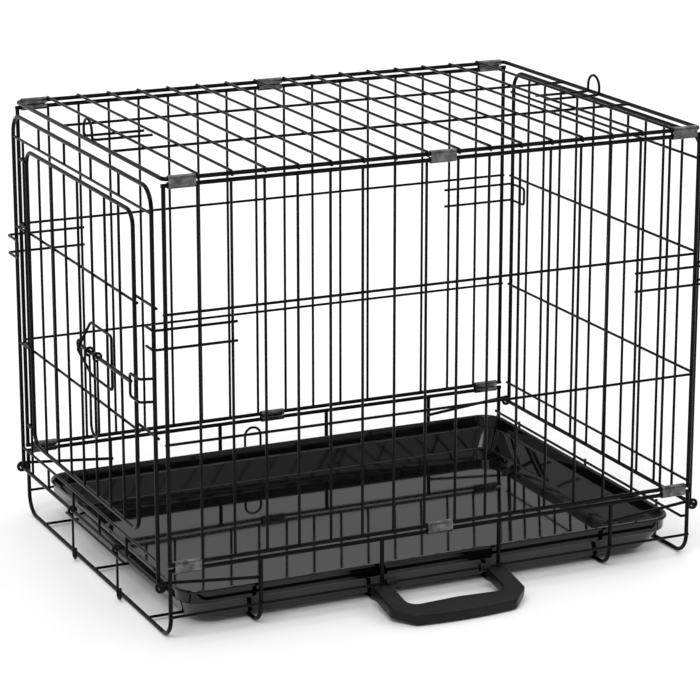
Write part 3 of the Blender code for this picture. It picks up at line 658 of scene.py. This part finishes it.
def makeTray():
    nothingSelected()
    left, right = tray["left"] + tray["floorInset"], length - tray["rightGap"] - tray["floorInset"]
    front, back = tray["side"] + tray["floorInset"], depth - tray["side"] - tray["floorInset"]
    half = Vector(((right - left) / 2, (back - front) / 2, 1))
    centre = spot((left + right) / 2, (front + back) / 2, tray["floorZ"])
    bpy.ops.mesh.primitive_plane_add(size=2, location=centre)
    piece = bpy.context.object
    bpy.ops.object.transform_apply(location=True, rotation=True, scale=True)
    bpy.ops.object.mode_set(mode="EDIT")
    bpy.ops.mesh.select_all(action="SELECT")
    bpy.ops.transform.resize(value=half, center_override=centre)
    bpy.ops.mesh.bevel(offset=tray["cornerRadius"], offset_type="OFFSET", segments=12, affect="VERTICES")
    bpy.ops.mesh.select_all(action="SELECT")
    bpy.ops.mesh.region_to_loop()
    out, z = 0.0, tray["floorZ"]
    for nextOut, nextZ in tray["profile"]:
        bpy.ops.mesh.extrude_edges_move(TRANSFORM_OT_translate={"value": (0, 0, nextZ - z)})
        grow = ((half.x + nextOut) / (half.x + out), (half.y + nextOut) / (half.y + out), 1)
        bpy.ops.transform.resize(value=grow, center_override=(centre.x, centre.y, nextZ))
        out, z = nextOut, nextZ
    bpy.ops.mesh.select_all(action="SELECT")
    bpy.ops.mesh.normals_make_consistent(inside=False)
    bpy.ops.object.mode_set(mode="OBJECT")
    finished(edgeTrimmed(piece, tray["wall"], tray["edge"]), "trayPan", "tray", "tray_plastic", ["tray"])


makeTray()
print("tray is drawn")


# Carry handle: a moulded frame with rounded edges, and two bosses on the basket's side rail
handle = {
    "middle": 0.3025, "start": 0.0025, "half": 0.0785,
    "wide": 0.0785, "wideAt": 0.050, "nose": 0.0585,
    "reach": 0.0755, "bow": 0.004, "farSteps": 6,
    "holeHalf": 0.0570, "holeFar": 0.049, "holeBow": 0.003, "holeRadius": 0.012,
    "outerRadius": 0.006, "thickness": 0.012, "edge": 0.0016, "footGap": 0.0006,
    "bossRadius": 0.0046, "boreRadius": 0.0021, "bossLength": 0.012, "bossStep": 0.0075, "bossEdge": 0.0008,
}


def makeHandle():
    nothingSelected()
    axisY, middle = -thinOnThick, handle["middle"]

    def corner(out, reach):
        return spot(middle + out, axisY - reach, 0)

    steps = handle["farSteps"]
    far = [
        corner(handle["nose"] * step / steps, handle["reach"] - handle["bow"] * (step / steps) ** 2)
        for step in range(-steps, steps + 1)
    ]
    outer = softBends([
        corner(-handle["half"], handle["start"]), corner(-handle["wide"], handle["wideAt"]), *far,
        corner(handle["wide"], handle["wideAt"]), corner(handle["half"], handle["start"]),
    ], handle["outerRadius"], 6)
    inner = softBends([
        corner(handle["holeHalf"], handle["start"]), corner(handle["holeHalf"], handle["holeFar"]),
        corner(0, handle["holeFar"] - handle["holeBow"]),
        corner(-handle["holeHalf"], handle["holeFar"]), corner(-handle["holeHalf"], handle["start"]),
    ], handle["holeRadius"], 8)
    line = bpy.data.curves.new("handle", "CURVE")
    line.dimensions = "2D"
    line.fill_mode = "BOTH"
    line.extrude = handle["thickness"] / 2 - handle["edge"]
    line.bevel_depth = handle["edge"]
    line.bevel_resolution = 3
    line.offset = -handle["edge"]
    spline = line.splines.new("POLY")
    spline.points.add(len(outer + inner) - 1)
    for point, place in zip(spline.points, outer + inner):
        point.co = (place.x, place.y, 0, 1)
    spline.use_cyclic_u = True
    piece = bpy.data.objects.new("handle", line)
    piece.location.z = basket["sideBarZ"] - handle["thickness"] / 2
    bpy.context.scene.collection.objects.link(piece)
    piece.select_set(True)
    bpy.context.view_layer.objects.active = piece
    bpy.ops.object.convert(target="MESH")
    bpy.ops.object.transform_apply(location=True, rotation=True, scale=True)
    bossX = handle["holeHalf"] + handle["bossLength"] / 2 - handle["bossStep"]
    for way in (-1, 1):
        bpy.ops.mesh.primitive_cylinder_add(
            vertices=32, radius=handle["bossRadius"], depth=handle["bossLength"],
            location=spot(middle + way * bossX, axisY, basket["sideBarZ"]), rotation=(0, pi / 2, 0),
        )
        boss = bpy.context.object
        bpy.ops.mesh.primitive_cylinder_add(
            vertices=32, radius=handle["boreRadius"], depth=2 * handle["bossLength"],
            location=boss.location, rotation=(0, pi / 2, 0),
        )
        bore = bpy.context.object
        nothingSelected()
        boss.select_set(True)
        bpy.context.view_layer.objects.active = boss
        bpy.ops.object.modifier_add(type="BOOLEAN")
        boss.modifiers[0].object = bore
        bpy.ops.object.modifier_apply(modifier=boss.modifiers[0].name)
        bpy.data.objects.remove(bore)
        bpy.ops.object.modifier_add(type="BEVEL")
        boss.modifiers[0].width = handle["bossEdge"]
        boss.modifiers[0].segments = 3
        bpy.ops.object.modifier_apply(modifier=boss.modifiers[0].name)
        boss.select_set(True)
        piece.select_set(True)
        bpy.context.view_layer.objects.active = piece
        bpy.ops.object.join()
        nothingSelected()
    # the grip tips down until its far edge rests on the floor
    reach, drop = handle["reach"], basket["sideBarZ"] - handle["footGap"]
    tilt = asin(drop / hypot(reach, handle["thickness"])) - atan2(handle["thickness"], reach)
    hinge = spot(0, axisY, basket["sideBarZ"])
    turned = Matrix.Rotation(tilt, 4, "X")
    piece.data.transform(Matrix.Translation(hinge) @ turned @ Matrix.Translation(-hinge))
    merged(piece)
    finished(piece, "carryHandle", "handle", "handle_plastic", ["carry_handle"])


makeHandle()
print("carry handle is moulded")
